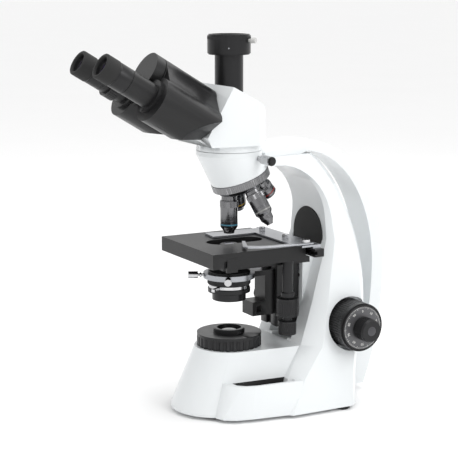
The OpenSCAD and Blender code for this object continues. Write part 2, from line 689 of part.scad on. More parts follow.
// ---- Turret and objectives -----------------------------------------------
shoulder_z = seat_z - 49;
thread_r = 10.16;
module at_objective(k) {
    turret_frame() rotate(90 * k) rotate([-turret_tilt, 0, 0]) translate([0, 0, shoulder_z - apex_z]) children();
}
module turret() {
    color("dimgray") at_axis() difference() {
        turret_frame() union() {
            translate([0, 0, -turret_face - 1]) cylinder(h=5, r=29);
            difference() {
                translate([0, 0, -turret_face - 8.4]) cylinder(h=8, r=turret_r);
                flutes(-turret_face - 8, 7, turret_r, 90, 0.6);
            }
            translate([0, 0, -turret_face - 14]) cylinder(h=8, r1=26, r2=30);
        }
        for (k = [0:3]) at_objective(k) {
            translate([0, 0, -1]) cylinder(h=5.6, r=thread_r + run);
            translate([0, 0, 2]) cylinder(h=30, r=7);
            translate([0, 0, -20]) cylinder(h=20, r=12);
        }
    }
}
// A turned objective hanging from its shoulder; the profile goes down from there
module objective(k, profile, bore) {
    at_objective(k) rotate_extrude() polygon(concat([[bore, 4.5], [thread_r, 4.5], [thread_r, 0]], profile,
        [[bore, profile[len(profile) - 1][1]]]));
}
module objective_40x() {
    r = objective_r;
    color("gainsboro") at_axis() objective(0, [[r + 0.6, 0], [r + 0.6, -2], [8.5, -2.6], [8.5, -7], [r + 0.1, -7.4],
        [r + 0.1, -16], [r, -16.4], [r, -37], [r - 0.5, -38], [6.3, -42], [5.9, -44.6]], 3);
}
module objective_100x() {
    r = objective_r;
    color("gainsboro") at_axis() objective(1, [[r + 0.6, 0], [r + 0.6, -2], [8.8, -2.6], [8.8, -6], [r + 0.1, -6.4],
        [r + 0.1, -14], [r, -14.4], [r, -30], [7.6, -33], [7.2, -38], [4.2, -43], [3.6, -44.8]], 2);
}
module objective_4x() {
    r = objective_r;
    color("gainsboro") at_axis() objective(2, [[r + 0.6, 0], [r + 0.6, -3], [r - 0.6, -3.4], [r - 0.6, -9], [r, -9.4],
        [r, -23], [r - 1.6, -25]], 6);
}
module objective_10x() {
    r = objective_r;
    color("gainsboro") at_axis() objective(3, [[r + 0.6, 0], [r + 0.6, -2], [8.6, -2.6], [8.6, -7], [r, -7.4],
        [r, -28], [7.2, -32], [6.8, -34]], 4);
}
// ---- Head ----------------------------------------------------------------
head_half_w = 40;
module head_outline() {
    polygon([[-47, 19], [-42.5, 8.4], [21, 7.4], [29, 12], [29.8, 43.6], [27, 50], [-15.7, 72.4]]);
}
module bino_frame() {
    translate([0, -28.3, seat_z + 46]) rotate([90 - tube_incline, 0, 0]) children();
}
module head_side(half_w) { translate([0, 0, seat_z]) side_extrude(half_w) children(); }
module head_plan(in) {
    slab(seat_z, 90) offset(delta=-in)
        polygon([[-40, -60], [40, -60], [40, 16], [27, 32], [-27, 32], [-40, 16]]);
}
beam_r = 6;
pin_r = 6;
drop = 25;                // eyepiece axes below the hinge of the two halves
boss_drop = 11;           // front boss of the head below that hinge
module head_housing() {
    color("white") at_axis() difference() {
        union() {
            intersection() {
                head_side(head_half_w) head_outline();
                head_plan(0);
            }
            translate([0, 0, seat_z + gap]) cylinder(h=8.4, r=36);
            translate([0, 0, seat_z - 11]) cylinder(h=12, r1=dovetail_r, r2=dovetail_r - 2);
            bino_frame() translate([0, -boss_drop, -5]) cylinder(h=8.5, r=24.5);
        }
        intersection() {
            head_side(head_half_w - wall) offset(delta=-wall) head_outline();
            head_plan(wall);
        }
        translate([0, 0, seat_z - 20]) cylinder(h=40, r=11);
        translate([0, 0, seat_z + 40]) cylinder(h=50, r=photo_r);
        bino_frame() for (s = [-1, 1]) translate([s * eye_gap / 2, -drop, -20]) cylinder(h=40, r=6);
    }
    color("white") at_axis() bino_frame() translate([0, 0, -3]) cylinder(h=pin_end + 3, r=pin_r);
}
module head_lock_screw() {
    color("silver") at_axis() along_x(14, lock_y, lock_z) difference() {
        union() {
            cylinder(h=30, r=3);
            translate([0, 0, 26]) cylinder(h=20, r=5);
            translate([0, 0, 45]) cylinder(h=3, r=3.6);
        }
        flutes(28, 16, 5, 18, 0.7);
    }
}
module beam_prism() {
    color("lightblue") at_axis() {
        translate([0, 0, seat_z + 12]) block([-13, -13, 0], [13, 13, 20]);
        translate([0, 0, seat_z + 32]) rotate([90, 0, 90]) translate([0, 0, -13])
            linear_extrude(26) polygon([[-13, 0], [13, 0], [-13, 14]]);
    }
}
module photo_tube() {
    color("dimgray") at_axis() ring(seat_z + 47, photo_h - 58.5, photo_r, 11.6);
}
clamp_z = seat_z + photo_h - 22;
module photo_clamp() {
    color("dimgray") at_axis() difference() {
        union() {
            translate([0, 0, clamp_z + 1.2]) cylinder(h=19.6, r=photo_ring_r);
            translate([0, 0, clamp_z]) cylinder(h=22, r=photo_ring_r - 1.2);
            rotate(37) along_x(photo_ring_r - 1, 0, clamp_z + 15.5) {
                cylinder(h=6, r=1.6);
                translate([0, 0, 4]) cylinder(h=5, r=3.2);
            }
        }
        translate([0, 0, clamp_z - 1]) cylinder(h=11.5, r=photo_r);
        translate([0, 0, clamp_z + 10.5]) cylinder(h=12, r=19);
    }
}
// ---- Eyepiece tubes ------------------------------------------------------
lobe_r = 25.5;
lobe_x = eye_gap / 2 + 4;
lobe_drop = drop + 2;
drum_r = 22;
split_u = 74;
lobe_end = 78;
drum_end = 86;
pin_end = drum_end - 2.4;  // the front disc closes over the pin
facet_at = [lobe_x + lobe_r, -17, 13.6];  // a point on the sloped lower rear corner
module at_eye() { translate([eye_gap / 2, -drop, 0]) children(); }
module at_lobe() { translate([lobe_x, -lobe_drop, 0]) children(); }
// One half of the eyepiece body; its drum and web span from low to high along the hinge
module eye_half(low, high, web_high) {
    other_low = low < 10 ? split_u - gap : 0;
    other_high = low < 10 ? drum_end + 10 : split_u + gap;
    difference() {
        union() {
            difference() {
                union() {
                    translate([0, 0, 4]) linear_extrude(lobe_end - 4) at_lobe() circle(r=lobe_r);
                    at_eye() translate([0, 0, lobe_end - 2]) cylinder(h=6, r=19);
                }
                translate([0, 0, other_low]) cylinder(h=other_high - other_low, r=drum_r + gap);
            }
            translate([0, 0, low]) cylinder(h=high - low, r=drum_r);
            translate([0, 0, low]) linear_extrude(web_high - low) hull() {
                circle(r=drum_r - 1);
                at_lobe() circle(r=lobe_r - 2);
            }
            at_eye() translate([0, 0, lobe_end]) cylinder(h=34, r=tube_r);
        }
        translate([0, 0, -1]) cylinder(h=pin_end + 1.3, r=pin_r + run);
        at_eye() translate([0, 0, 30]) cylinder(h=100, r=11.6);
        at_eye() translate([0, 0, -1]) cylinder(h=40, r=beam_r);
        side_extrude(90) polygon([[-90, -1], [-90, 46], [-lobe_drop - lobe_r, 38], [-34, -1]]);
        translate(facet_at) rotate([0, 126.3, -45.3]) translate([-80, -80, 0]) cube([160, 160, 60]);
    }
}
module binocular_right() { color("white") at_axis() bino_frame() eye_half(4, split_u - gap, split_u - gap - 1); }
module binocular_left() {
    color("white") at_axis() bino_frame() mirror([1, 0, 0]) eye_half(split_u + gap, drum_end, lobe_end - 1);
}
module eyepiece() {
    at_eye() rotate_extrude() polygon([[9, 88], [11.55, 88], [11.55, 112.2], [tube_r, 112.2], [tube_r, 127.4],
        [tube_r - 0.5, 127.8], [tube_r - 0.5, 128.6], [tube_r, 129], [tube_r, 143.8], [tube_r - 1.2, 145], [11, 145], [10, 139], [0, 138], [0, 134], [9, 134]]);
}
module eyepiece_right() { color("black") at_axis() bino_frame() eyepiece(); }
module eyepiece_left() { color("black") at_axis() bino_frame() mirror([1, 0, 0]) eyepiece(); }
module diopter_ring() {
    color("black") at_axis() bino_frame() mirror([1, 0, 0]) at_eye() difference() {
        translate([0, 0, 92]) cylinder(h=12, r=tube_r + 3);
        translate([0, 0, 80]) cylinder(h=40, r=tube_r + run);
        flutes(93.5, 9, tube_r + 3, 36, 0.7);
    }
}
// ---- Pick a piece -------------------------------------------------------
base_casting();
arm_casting();
carry_bow();
nose_housing();
base_plate();
rubber_feet();
cover_screws();
front_panel();
arch_cover();
guide_rail();
lamp_house();
led_module();
collector_lens();
driver_board();
power_inlet();
shaft_bushes();
power_rocker();
dimmer_knob();
field_ring();
field_lens();
coarse_shaft();
coarse_knob_right();
coarse_knob_left();
focus_dial();
fine_shaft();
fine_knob_right();
fine_knob_left();
stage_carriage();
focus_rack();
stage_base();
stage_top();
drive_post();
y_knob();
x_knob();
x_rail();
slide_holder();
holder_screws();
spring_finger();
condenser_slide();
condenser_barrel();
condenser_lens();
iris_lever();
filter_tray();
centring_screws();
condenser_knob();
turret();
objective_4x();
objective_10x();
objective_40x();
objective_100x();
head_housing();
head_lock_screw();
beam_prism();
photo_tube();
photo_clamp();
binocular_right();
binocular_left();
eyepiece_right();
eyepiece_left();
diopter_ring();
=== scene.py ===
import json
import math

import bmesh
import bpy
from mathutils import Matrix, Vector


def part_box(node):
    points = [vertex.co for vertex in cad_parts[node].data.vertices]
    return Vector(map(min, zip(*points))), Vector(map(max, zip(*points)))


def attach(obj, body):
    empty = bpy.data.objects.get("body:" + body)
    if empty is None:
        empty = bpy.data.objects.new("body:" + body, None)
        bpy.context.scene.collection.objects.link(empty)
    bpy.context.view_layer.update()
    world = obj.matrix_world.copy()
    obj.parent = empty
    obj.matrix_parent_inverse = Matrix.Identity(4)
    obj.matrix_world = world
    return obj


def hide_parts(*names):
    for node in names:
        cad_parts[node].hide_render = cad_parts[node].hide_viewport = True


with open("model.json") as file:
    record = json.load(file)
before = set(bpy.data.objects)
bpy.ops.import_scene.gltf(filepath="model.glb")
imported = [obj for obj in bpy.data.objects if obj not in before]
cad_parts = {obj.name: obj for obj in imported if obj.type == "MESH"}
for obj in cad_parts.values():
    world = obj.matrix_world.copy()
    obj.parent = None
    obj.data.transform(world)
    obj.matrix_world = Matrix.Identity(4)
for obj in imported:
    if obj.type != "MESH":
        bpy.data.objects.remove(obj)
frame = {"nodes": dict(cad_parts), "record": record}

bl_info = {
    "name": "Bench microscope finish",
    "version": (1, 0, 0),
    "blender": (4, 5, 0),
    "location": "View3D > Sidebar > Microscope",
    "description": "Finished shapes and surfaces for a jointed bench microscope",
    "category": "Object",
}

NODES = frame["nodes"]
JOINTS = {j["name"]: j for j in frame["record"]["behaviour"]["joints"]}
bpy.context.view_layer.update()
MM = 0.001


def joint_place(name):
    return Vector(JOINTS[name]["pos_m"])


# Measures in millimetres, used in more than one place or worth a name
HINGE_PIN_OUT = 40  # from the origin of the eyepieces' frame to their joint, along their axis
EYE_HALF_GAP = 30  # from the middle of the body to either eyepiece
EYE_DROP = 25  # from the hinge to the line through both eyepieces
OBJECTIVE_SEAT = 53  # from the turret joint's place to an objective's origin, along the objective
OBJECTIVE_R = 9.8
TURRET_RIM = -44.2  # height along the turret's axis where the bright rim ends
# the inner faces of this pocket are painted black as painted shade
POCKET_X, POCKET_Y, POCKET_Z = (44, 69.5), (-22, 48), (21, 40.3)  # open pocket of the base
POCKET_BACK = 57  # faces nearer the middle than this are the pocket's back wall
CLAMP_R = 23.7  # clamp ring of the camera tube
CLAMP_HANDLE_R = 24.6  # what stands further out is the pale handle
CLAMP_SCREW_TURN = -29  # degrees round the tube
HOLDER_SCREWS = ((-24, 56.5), (28, 56.5))
FORK_DEPTH = 8  # the condenser slide's bright fork, below its top
LOCK_KNOB_LENGTH = 11  # the lock screw's plastic end

# Half sections as (radius, height along the eyepiece)
EYE_LENS = [(0, 140.6), (3.5, 140.4), (7, 139.8), (9.9, 138.9), (9.9, 138.2), (0, 138.1)]
EYE_CUP = [(10.4, 143.0), (10.9, 145.3), (12.2, 145.9), (13.4, 145.7), (14.2, 145.0),
           (14.35, 143.8), (14.35, 129.6), (14.2, 129.2), (13.9, 129.2), (13.9, 143.4)]

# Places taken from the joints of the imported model
SEAT = joint_place("head_turn")
TURRET_AXIS = Vector(JOINTS["nosepiece_turn"]["axis"]).normalized()
EYE_AXIS = Vector(JOINTS["eye_gap_right"]["axis"]).normalized()
TILT = math.atan2(-TURRET_AXIS.y, TURRET_AXIS.z)
TURRET = Matrix.Translation(joint_place("nosepiece_turn")) @ Matrix.Rotation(TILT, 4, "X")
HINGE = joint_place("eye_gap_right") - HINGE_PIN_OUT * MM * EYE_AXIS
EYES = Matrix.Translation(HINGE) @ EYE_AXIS.to_track_quat("Z", "Y").to_matrix().to_4x4()
FOCUS = joint_place("coarse_turn")
BODY_OF = {n: b for b, names in frame["record"]["behaviour"]["bodies"].items() for n in names}


# ---- Shader building -------------------------------------------------------
class Value:
    """A number socket that takes part in Python expressions."""

    def __init__(self, shader, socket):
        self.shader = shader
        self.socket = socket

    def _math(self, kind, *values):
        return self.shader.node("ShaderNodeMath", {"operation": kind}, dict(enumerate(values)))

    def __add__(self, other):
        return self._math("ADD", self, other)

    __radd__ = __add__

    def __sub__(self, other):
        return self._math("SUBTRACT", self, other)

    def __rsub__(self, other):
        return self._math("SUBTRACT", other, self)

    def __mul__(self, other):
        return self._math("MULTIPLY", self, other)

    __rmul__ = __mul__

    def wave(self):
        return self._math("SINE", self)


class Surface:
    """One material under construction."""

    def __init__(self, name, **constants):
        self.material = bpy.data.materials.new(name)
        self.material.use_nodes = True
        self.tree = self.material.node_tree
        self.tree.nodes.clear()
        self.shader = self.tree.nodes.new("ShaderNodeBsdfPrincipled")
        output = self.tree.nodes.new("ShaderNodeOutputMaterial")
        self.tree.links.new(self.shader.outputs[0], output.inputs[0])
        for key, value in constants.items():
            self.shader.inputs[key.replace("_", " ")].default_value = value

    def feed(self, socket, value):
        if isinstance(value, Value):
            self.tree.links.new(value.socket, socket)
        else:
            socket.default_value = value

    def node(self, kind, settings, values, output=0):
        made = self.tree.nodes.new(kind)
        for key, value in settings.items():
            setattr(made, key, value)
        for key, value in values.items():
            self.feed(made.inputs[key], value)
        return Value(self, made.outputs[output])

    def place(self):
        return self.node("ShaderNodeTexCoord", {}, {}, "Object")

    def along(self, axis):
        """Distance along a direction, in metres."""
        return self.node("ShaderNodeVectorMath", {"operation": "DOT_PRODUCT"},
                         {0: self.place(), 1: axis}, "Value")

    def noise(self, scale, detail=2.0, rough=0.5, vector=None):
        return self.node("ShaderNodeTexNoise", {}, {"Vector": vector or self.place(), "Scale": scale,
                         "Detail": detail, "Roughness": rough}, "Fac")

    def streaks(self, axis, scale):
        """Fine turning marks that change along one direction only."""
        line = self.node("ShaderNodeCombineXYZ", {}, {0: self.along(axis) * scale, 1: 0.37, 2: 0.61})
        return self.noise(1.0, 3.0, 0.6, line)

    def speckle(self, scale):
        return self.node("ShaderNodeTexVoronoi", {}, {"Vector": self.place(), "Scale": scale}, "Distance")

    def band(self, value, low, high):
        return self.node("ShaderNodeMapRange", {"clamp": True}, {0: value, 1: low, 2: high, 3: 0.0, 4: 1.0})

    def mix(self, factor, first, second):
        made = self.tree.nodes.new("ShaderNodeMix")
        made.data_type = "RGBA"
        self.feed(made.inputs[0], factor)
        self.feed(made.inputs[6], first if isinstance(first, Value) else (*first, 1.0))
        self.feed(made.inputs[7], second if isinstance(second, Value) else (*second, 1.0))
        return Value(self, made.outputs[2])

    def edge_wear(self):
        """1 on worn outer edges, from the surface's own shape."""
        shape = self.node("ShaderNodeNewGeometry", {}, {}, "Pointiness")
        return self.band(shape, 0.52, 0.60)

    def finish(self, colour, roughness, height=None, bump=0.1, depth=0.0002):
        inputs = self.shader.inputs
        self.feed(inputs["Base Color"], colour)
        self.feed(inputs["Roughness"], roughness)
        if height is not None:
            normal = self.node("ShaderNodeBump", {}, {"Strength": bump, "Distance": depth, "Height": height})
            self.feed(inputs["Normal"], normal)
        return self.material


FINISHES = {}


def shade(colour, k):
    return tuple(min(1.0, c * k) for c in colour)


def enamel(name, colour, roughness, coat, grain=900.0, bump=0.06):
    """Sprayed paint: a broad tint, orange peel and a clear coat."""
    s = Surface(name, Coat_Weight=coat, Coat_Roughness=0.12, Specular_IOR_Level=0.3)
    broad = s.noise(14.0, 3.0)
    peel = s.noise(grain, 2.0, 0.45)
    dust = s.band(s.noise(260.0, 6.0, 0.7), 0.62, 0.80)
    tint = s.mix(broad, shade(colour, 0.97), colour)
    return s.finish(s.mix(dust * 0.12, tint, shade(colour, 0.86)),
                    roughness + (broad - 0.5) * 0.10 + dust * 0.08, peel, bump, 0.0003)


def grained(name, colour, roughness, grain=2600.0, bump=0.25):
    """Moulded plastic or rubber with a fine grain and paler rubbed edges."""
    s = Surface(name, Specular_IOR_Level=0.25)
    broad = s.noise(30.0, 3.0)
    cells = s.speckle(grain)
    rub = s.edge_wear()
    body = s.mix(broad, shade(colour, 0.8), shade(colour, 1.25))
    return s.finish(s.mix(rub * 0.35, body, shade(colour, 2.6)),
                    roughness + (broad - 0.5) * 0.12 - rub * 0.08, cells, bump, 0.00012)


def turned(name, colour, axis, roughness, metallic=1.0, scale=9000.0, wear=0.5, contrast=0.22):
    """Lathe-turned metal: marks across one axis, smudges, and bright worn edges."""
    s = Surface(name, Metallic=metallic)
    marks = s.streaks(tuple(axis), scale)
    smudge = s.noise(70.0, 4.0, 0.6)
    rub = s.edge_wear()
    body = s.mix(marks, shade(colour, 1.0 - contrast), shade(colour, 1.0 + contrast))
    return s.finish(s.mix(rub * wear, body, shade(colour, 1.8)),
                    roughness + (smudge - 0.5) * 0.16 + (marks - 0.5) * 0.10, marks, 0.12, 0.00008)


def machined(name, colour, roughness, metallic=1.0, grain=1800.0):
    """Flat ground or milled metal with crossing marks."""
    s = Surface(name, Metallic=metallic)
    marks = s.streaks((0.02, 0.03, 1.0), 5200.0)
    fine = s.noise(grain, 4.0, 0.6)
    rub = s.edge_wear()
    body = s.mix(marks, shade(colour, 0.85), shade(colour, 1.1))
    return s.finish(s.mix(rub * 0.5, body, shade(colour, 1.6)),
                    roughness + (fine - 0.5) * 0.15, fine, 0.08, 0.0001)


def polished_glass(name, tint, roughness=0.03):
    s = Surface(name, Transmission_Weight=0.85, IOR=1.52)
    film = s.noise(60.0, 4.0, 0.6)
    return s.finish(s.mix(film, shade(tint, 0.94), tint), roughness + film * 0.03)


def coated_lens(name, colour):
    """A deep, dark lens with a coloured anti-reflection sheen."""
    s = Surface(name, Coat_Weight=1.0, Coat_Roughness=0.03, Metallic=0.2)
    film = s.noise(90.0, 3.0)
    return s.finish(s.mix(film, shade(colour, 0.6), colour), 0.06 + film * 0.05)


def circuit(name, colour):
    s = Surface(name)
    tracks = (s.along((1, 0, 0)) * 1900.0).wave() * (s.along((0, 1, 0)) * 900.0).wave()
    line = s.band(tracks, 0.55, 0.62)
    return s.finish(s.mix(line, colour, shade(colour, 2.2)), 0.45 - line * 0.1, line, 0.3, 0.0001)


def finish_of(name):
    """The material of that name, made the first time it is asked for."""
    if name in FINISHES:
        return FINISHES[name]
    c = bpy.context.scene.scope_colours
    up = (0.0, 0.0, 1.0)
    across = (1.0, 0.0, 0.0)
    makers = {
        "white enamel": lambda: enamel("white_enamel", tuple(c.enamel), 0.30, 0.35),
        "black enamel": lambda: enamel("black_enamel", tuple(c.black), 0.38, 0.08, 1500.0, 0.10),
        "stage coat": lambda: enamel("stage_coat", tuple(c.stage), 0.40, 0.05, 2200.0, 0.12),
        # real black plastic, and also the painted shade inside the base's side pockets
        "black plastic": lambda: grained("black_plastic", tuple(c.plastic), 0.46),
        "knob plastic": lambda: grained("knob_plastic", tuple(c.plastic), 0.38, 1700.0, 0.12),
        "rubber": lambda: grained("soft_rubber", (0.018, 0.018, 0.018), 0.66, 3400.0, 0.4),
        "black turned upright": lambda: turned("anodised_upright", tuple(c.anodised), up, 0.32, 0.55),
        "black turned eye": lambda: turned("anodised_eye", tuple(c.anodised), EYE_AXIS, 0.34, 0.5),
        "black turned turret": lambda: turned("anodised_turret", tuple(c.anodised), TURRET_AXIS, 0.30, 0.7),
        "black turned across": lambda: turned("anodised_across", tuple(c.anodised), across, 0.32, 0.55),
        "chrome": lambda: turned("bright_chrome", tuple(c.chrome), up, 0.14, 1.0, 7000.0, 0.3, 0.06),
        "steel across": lambda: turned("steel_across", (0.50, 0.50, 0.51), across, 0.28),
        "ground steel": lambda: machined("ground_steel", (0.48, 0.48, 0.49), 0.30),
        "bright steel": lambda: machined("bright_steel", (0.34, 0.35, 0.37), 0.30),
        "chrome turret": lambda: turned("chrome_turret", (0.20, 0.20, 0.205), TURRET_AXIS, 0.20,
                                        1.0, 7000.0, 0.9, 0.25),
        "aluminium": lambda: machined("milled_aluminium", (0.62, 0.62, 0.63), 0.34),
        "dark aluminium": lambda: machined("dark_aluminium", (0.06, 0.06, 0.065), 0.40, 0.8),
        "dark screw": lambda: machined("dark_screw", (0.08, 0.08, 0.085), 0.32),
        "brass": lambda: machined("sintered_brass", (0.55, 0.36, 0.12), 0.42),
        "pale plastic": lambda: grained("pale_plastic", (0.42, 0.42, 0.41), 0.35),
        "board": lambda: circuit("lamp_board", (0.015, 0.12, 0.05)),
        "glass": lambda: polished_glass("clear_glass", (0.90, 0.96, 0.98)),
        "eye lens": lambda: coated_lens("eye_lens", (0.03, 0.02, 0.06)),
        "lamp lens": lambda: coated_lens("lamp_lens", (0.10, 0.11, 0.11)),
        "dial": lambda: machined("dial_face", (0.10, 0.10, 0.105), 0.36, 0.4),
        "dial mark": lambda: enamel("dial_mark", (0.75, 0.75, 0.72), 0.45, 0.0),
        "scale mark": lambda: enamel("scale_mark", (0.85, 0.85, 0.82), 0.5, 0.0),
        "blue band": lambda: enamel("blue_band", tuple(c.band), 0.3, 0.5),
        "yellow band": lambda: enamel("yellow_band", (0.40, 0.24, 0.03), 0.3, 0.5),
        "red band": lambda: enamel("red_band", (0.22, 0.02, 0.02), 0.3, 0.5),
        "pale band": lambda: enamel("pale_band", (0.22, 0.22, 0.21), 0.3, 0.5),
    }
    for k in range(4):
        axis = objective_place(k).to_3x3() @ Vector((0, 0, 1))
        makers[f"objective {k}"] = lambda axis=axis, k=k: turned(
            f"objective_{k}", tuple(c.objective), axis, 0.20, 1.0, 6000.0, 0.4, 0.10)
        makers[f"objective dark {k}"] = lambda axis=axis, k=k: turned(
            f"objective_dark_{k}", (0.06, 0.06, 0.065), axis, 0.26, 0.9)
    FINISHES[name] = makers[name]()
    return FINISHES[name]


def objective_place(k):
    return (TURRET @ Matrix.Rotation(math.radians(90 * k), 4, "Z") @ Matrix.Rotation(-TILT, 4, "X")
            @ Matrix.Translation((0, 0, -OBJECTIVE_SEAT * MM)))


# ---- Mesh building ---------------------------------------------------------
def smooth(mesh, degrees):
    for face in mesh.polygons:
        face.use_smooth = True
    mesh.set_sharp_from_angle(angle=math.radians(degrees))


def place_piece(obj, body, finish):
    bpy.context.scene.collection.objects.link(obj)
    for name in [finish] if isinstance(finish, str) else finish:
        obj.data.materials.append(finish_of(name))
    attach(obj, body)
    return obj


def finished_copy(node, finish, edge=0.0003, angle=32.0, segments=2, paint=None, sharp=38.0):
    """A CAD piece with its edges broken, standing for the CAD node. paint picks a finish for
    each face from its centre and normal."""
    mesh = bpy.data.meshes.new(f"{node}_finished")
    made = bmesh.new()
    made.from_mesh(NODES[node].data)
    bmesh.ops.remove_doubles(made, verts=made.verts, dist=2e-6)
    bmesh.ops.dissolve_limit(made, angle_limit=math.radians(0.6), use_dissolve_boundaries=False,
                             verts=made.verts, edges=made.edges, delimit=set())
    if paint:
        for face in made.faces:
            face.material_index = paint(face.calc_center_median(), face.normal)
    made.to_mesh(mesh)
    made.free()
    obj = bpy.data.objects.new(f"{node}_finished", mesh)
    place_piece(obj, BODY_OF[node], finish)
    if edge > 0:
        bevel = obj.modifiers.new("edge", "BEVEL")
        bevel.width = edge
        bevel.segments = segments
        bevel.limit_method = "ANGLE"
        bevel.angle_limit = math.radians(angle)
        bevel.miter_outer = "MITER_ARC"
        bevel.use_clamp_overlap = True
        bevel.harden_normals = False
    smooth(mesh, sharp)
    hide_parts(node)
    return obj


def turned_piece(name, profile, place, finish, body, steps=96):
    """A lathe-turned piece from a closed run of (radius, height) points in millimetres."""
    made = bmesh.new()
    points = [made.verts.new((r * MM, 0, z * MM)) for r, z in profile]
    lines = [made.edges.new((points[i], points[(i + 1) % len(points)])) for i in range(len(points))]
    bmesh.ops.spin(made, geom=points + lines, cent=(0, 0, 0), axis=(0, 0, 1),
                   angle=2 * math.pi, steps=steps, use_merge=True)
    bmesh.ops.remove_doubles(made, verts=made.verts, dist=1e-7)
    bmesh.ops.recalc_face_normals(made, faces=made.faces)
    bmesh.ops.transform(made, matrix=place, verts=made.verts)
    return close_piece(made, name, finish, body)


def close_piece(made, name, finish, body, sharp=38.0):
    mesh = bpy.data.meshes.new(name)
    made.to_mesh(mesh)
    made.free()
    smooth(mesh, sharp)
    return place_piece(bpy.data.objects.new(name, mesh), body, finish)


def ring_of(name, count, spot, place, size, finish, body, skip=()):
    """Small blocks set round an axis: spot is (radius, height) and size is
    (radial, around, along), all in millimetres."""
    made = bmesh.new()
    for i in range(count):
        if i in skip:
            continue
        block = bmesh.ops.create_cube(made, size=1.0)["verts"]
        at = (place @ Matrix.Rotation(math.radians(360.0 * i / count), 4, "Z")
              @ Matrix.Translation((spot[0] * MM, 0, spot[1] * MM))
              @ Matrix.Diagonal((size[0] * MM, size[1] * MM, size[2] * MM, 1.0)))
        bmesh.ops.transform(made, matrix=at, verts=block)
    return close_piece(made, name, finish, body)


def knurl(name, r, low, high, count, place, finish, body, proud=0.35):
    """A ring of fine upright ridges with chamfered ends."""
    made = bmesh.new()
    ring = bmesh.ops.create_circle(made, cap_ends=False, segments=count * 2, radius=r * MM)["verts"]
    made.verts.index_update()
    for i, vert in enumerate(ring):
        if i % 2:
            vert.co *= (r + proud) / r
    bmesh.ops.translate(made, vec=(0, 0, (low + proud) * MM), verts=made.verts)
    grown = bmesh.ops.extrude_edge_only(made, edges=made.edges[:])["geom"]
    top = [v for v in grown if isinstance(v, bmesh.types.BMVert)]
    bmesh.ops.translate(made, vec=(0, 0, (high - low - 2 * proud) * MM), verts=top)
    for rim, shift in ((top, proud), (ring, -proud)):
        edges = [e for e in made.edges if e.verts[0] in rim and e.verts[1] in rim]
        grown = bmesh.ops.extrude_edge_only(made, edges=edges)["geom"]
        more = [v for v in grown if isinstance(v, bmesh.types.BMVert)]
        bmesh.ops.translate(made, vec=(0, 0, shift * MM), verts=more)
        for vert in more:
            flat = Vector((vert.co.x, vert.co.y, 0)).normalized() * (r - 0.3) * MM
            vert.co.x, vert.co.y = flat.x, flat.y
        bmesh.ops.contextual_create(made, geom=more)
    bmesh.ops.recalc_face_normals(made, faces=made.faces)
    bmesh.ops.transform(made, matrix=place, verts=made.verts)
    return close_piece(made, name, finish, body, 20.0)


def numeral(name, text, height, place, thick=0.12):
    """The mesh of a raised dial number, for joined()."""
    curve = bpy.data.curves.new(name, "FONT")
    curve.body = text
    curve.size = height * MM
    curve.extrude = thick * MM
    curve.resolution_u = 3
    curve.align_x = "CENTER"
    curve.align_y = "CENTER"
    holder = bpy.data.objects.new(name, curve)
    bpy.context.scene.collection.objects.link(holder)
    bpy.context.view_layer.update()
    drawn = holder.evaluated_get(bpy.context.evaluated_depsgraph_get())
    mesh = bpy.data.meshes.new_from_object(drawn)
    bpy.data.objects.remove(holder)
    mesh.name = name
    mesh.transform(place)
    return mesh


def joined(name, meshes, finish, body):
    """One piece out of several meshes."""
    made = bmesh.new()
    for mesh in meshes:
        made.from_mesh(mesh)
    bmesh.ops.remove_doubles(made, verts=made.verts, dist=1e-7)
    bmesh.ops.recalc_face_normals(made, faces=made.faces)
    return close_piece(made, name, finish, body)


def screw_head(made, place, r, h, drive=0.5):
    """A cap screw head with a hexagon socket, added to a bmesh."""
    disc = bmesh.ops.create_circle(made, cap_ends=True, segments=40, radius=r * MM)["verts"]
    top = disc[0].link_faces[0]
    verts = list(disc)
    geom = bmesh.ops.extrude_face_region(made, geom=[top])["geom"]
    cap = [f for f in geom if isinstance(f, bmesh.types.BMFace)][0]
    bmesh.ops.translate(made, vec=(0, 0, h * 0.75 * MM), verts=cap.verts)
    bmesh.ops.inset_region(made, faces=[cap], thickness=r * 0.12 * MM, depth=h * 0.25 * MM)
    verts += list(cap.verts)
    bmesh.ops.inset_region(made, faces=[cap], thickness=r * (1 - drive) * 0.8 * MM, depth=0)
    bmesh.ops.inset_region(made, faces=[cap], thickness=0.02 * MM, depth=-h * 0.6 * MM)
    linked = set(verts)
    grow = True
    while grow:
        more = {w for v in linked for e in v.link_edges for w in e.verts} - linked
        grow = bool(more)
        linked |= more
    bmesh.ops.transform(made, matrix=place, verts=list(linked))


def facing(point, direction):
    turn = Vector(direction).to_track_quat("Z", "Y").to_matrix().to_4x4()
    return Matrix.Translation(Vector(point)) @ turn


def axis_point(x, y, z):
    """A point given in millimetres from the optical axis on the table."""
    return Vector((x * MM, SEAT.y + y * MM, z * MM))


# ---- Settings a user would change ------------------------------------------
class ScopeSizes(bpy.types.PropertyGroup):
    casting_edge: bpy.props.FloatProperty(
        name="Casting edge", description="Rounding of the white castings' edges",
        default=0.0022, min=0.0, unit="LENGTH")
    bow_edge: bpy.props.FloatProperty(
        name="Bow edge", description="Rounding of the carrying bow",
        default=0.0050, min=0.0, unit="LENGTH")
    small_edge: bpy.props.FloatProperty(
        name="Small edge", description="Broken edge of turned and milled pieces",
        default=0.0004, min=0.0, unit="LENGTH")
    focal: bpy.props.FloatProperty(
        name="Focal length", description="Camera focal length in millimetres on a 36 mm sensor",
        default=110.36, min=10.0)
    distance: bpy.props.FloatProperty(
        name="Camera distance", description="Level distance from the optical axis",
        default=1.544, min=0.3, unit="LENGTH")
    height: bpy.props.FloatProperty(
        name="Camera height", description="Height of the camera over the table",
        default=0.4873, unit="LENGTH")
    azimuth: bpy.props.FloatProperty(
        name="Camera azimuth", description="Direction the camera looks from",
        default=math.radians(61.39), unit="ROTATION")
    pitch: bpy.props.FloatProperty(
        name="Camera pitch", description="How far the camera looks down",
        default=math.radians(10.37), unit="ROTATION")


